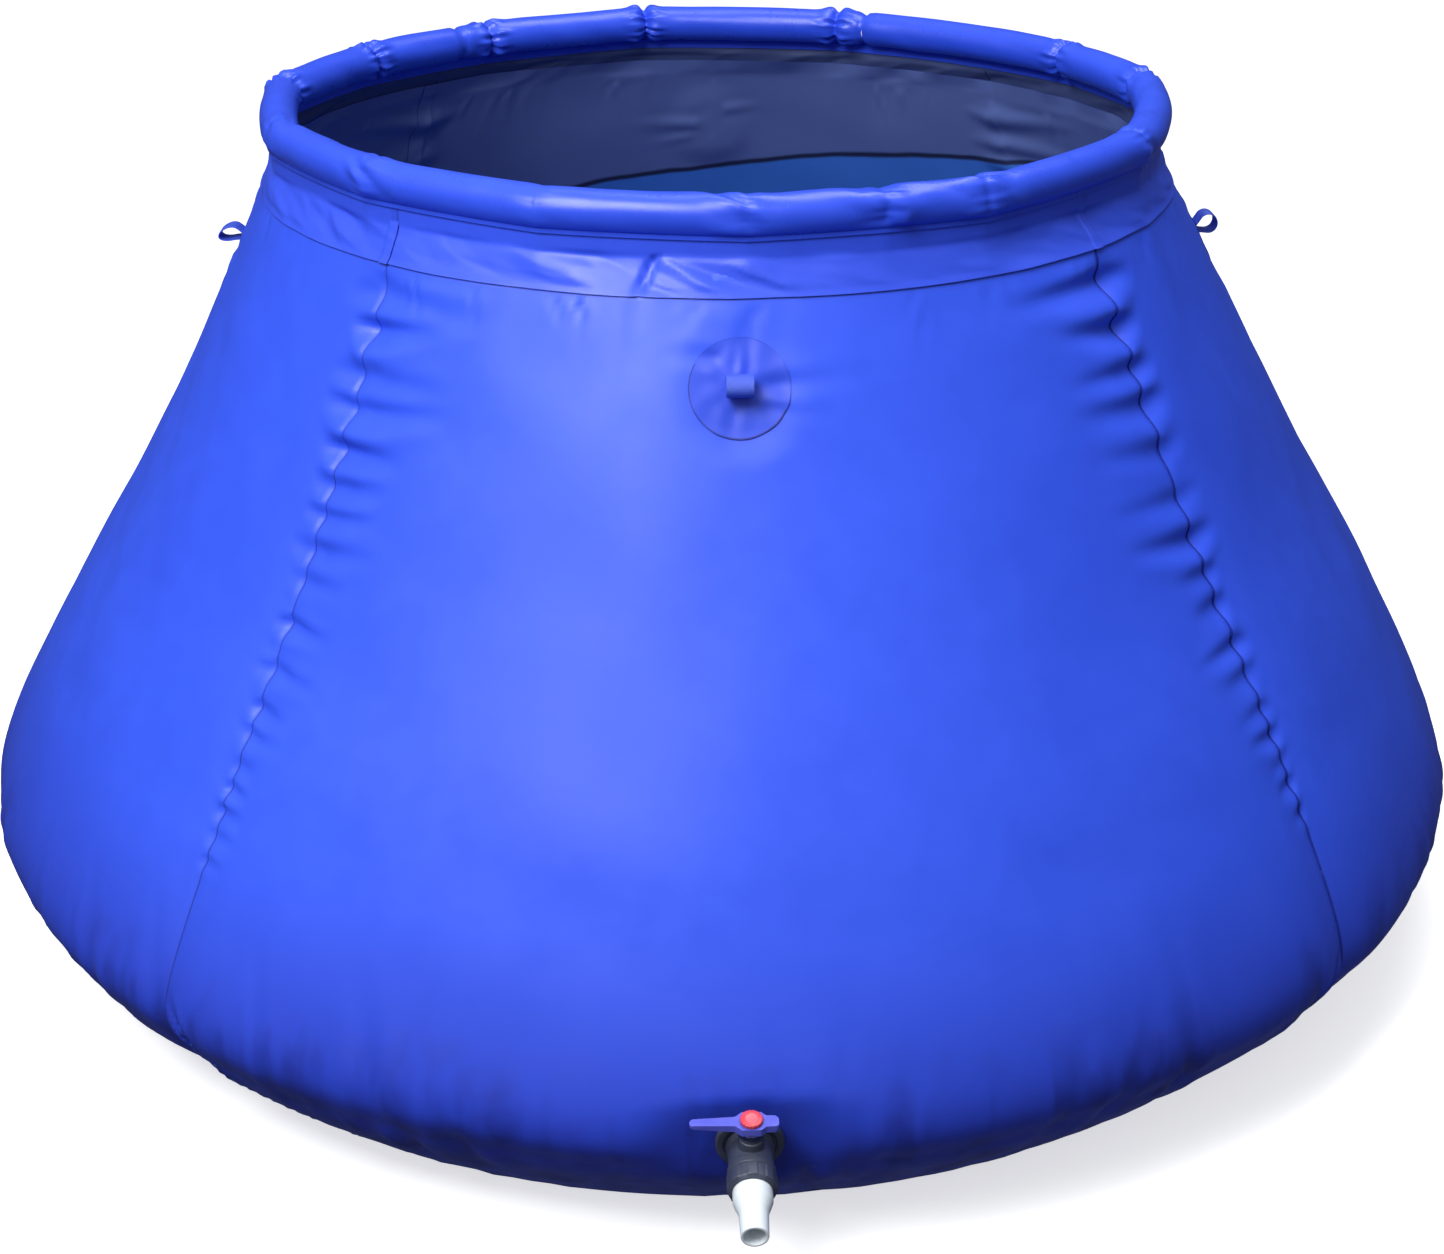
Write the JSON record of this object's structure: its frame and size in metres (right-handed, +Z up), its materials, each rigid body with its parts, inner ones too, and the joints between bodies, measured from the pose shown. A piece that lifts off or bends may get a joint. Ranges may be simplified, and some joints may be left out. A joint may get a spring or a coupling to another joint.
{
  "type": "livestock water trough",
  "caption": "Collapsible open-topped fabric water tank with a foam float collar, tie loops and a lever ball valve outlet with a hose tail.",
  "frame": {"origin": "middle of the base's underside, on the floor that the tank stands on", "axes": "+Z up through the middle of the tank; the outlet valve faces -Y; +X is to the right of someone who faces the valve"},
  "size_m": [1.8886, 2.0134, 1.032],
  "materials": {
    "coated_fabric": "satin",
    "webbing": "matte",
    "foam": "matte",
    "grey_pvc": "satin",
    "handle_blue": "satin",
    "cap_red": "satin",
    "white_pvc": "satin",
    "rubber": "matte",
    "seal_plastic": "gloss",
    "steel": "satin"
  },
  "bodies": {
    "tank": {"base_panel": "coated_fabric", "wall_panel_front": "coated_fabric", "wall_panel_right": "coated_fabric", "wall_panel_back": "coated_fabric", "wall_panel_left": "coated_fabric", "loop_patch_front": "coated_fabric", "loop_patch_right": "coated_fabric", "loop_patch_back": "coated_fabric", "loop_patch_left": "coated_fabric", "tie_loop_front": "webbing", "tie_loop_right": "webbing", "tie_loop_back": "webbing", "tie_loop_left": "webbing", "outlet_gasket_outer": "rubber", "outlet_gasket_inner": "rubber", "bulkhead_fitting": "grey_pvc", "bulkhead_nut": "grey_pvc", "valve_body": "grey_pvc", "ball_seat_inlet": "seal_plastic", "ball_seat_outlet": "seal_plastic", "seat_retainer": "grey_pvc", "stem_seal": "rubber", "outlet_nut": "grey_pvc", "hose_tail_seal": "rubber", "hose_tail": "white_pvc"},
    "float_collar": {"neck_band_front": "coated_fabric", "neck_band_right": "coated_fabric", "neck_band_back": "coated_fabric", "neck_band_left": "coated_fabric", "float_sleeve": "coated_fabric", "float_foam_01": "foam", "float_foam_02": "foam", "float_foam_03": "foam", "float_foam_04": "foam", "float_foam_05": "foam", "float_foam_06": "foam", "float_foam_07": "foam", "float_foam_08": "foam", "float_foam_09": "foam", "float_foam_10": "foam", "float_foam_11": "foam", "float_foam_12": "foam", "float_foam_13": "foam", "float_foam_14": "foam"},
    "valve_lever": {"valve_handle": "handle_blue", "handle_screw": "steel", "handle_cap": "cap_red", "valve_stem": "grey_pvc", "valve_ball": "seal_plastic"}
  },
  "joints": [
    {"name": "collar_travel", "type": "slide", "parent": "tank", "child": "float_collar", "axis": [0, 0, 1], "range_m": [-0.58, 0], "deforming": ["wall_panel_front", "wall_panel_right", "wall_panel_back", "wall_panel_left", "loop_patch_front", "loop_patch_right", "loop_patch_back", "loop_patch_left"]},
    {"name": "lever_turn", "type": "hinge", "parent": "tank", "child": "valve_lever", "pos_m": [0, -0.9681, 0.16878], "axis": [0, -0.1455, 0.9894], "range_deg": [0, 90]}
  ]
}
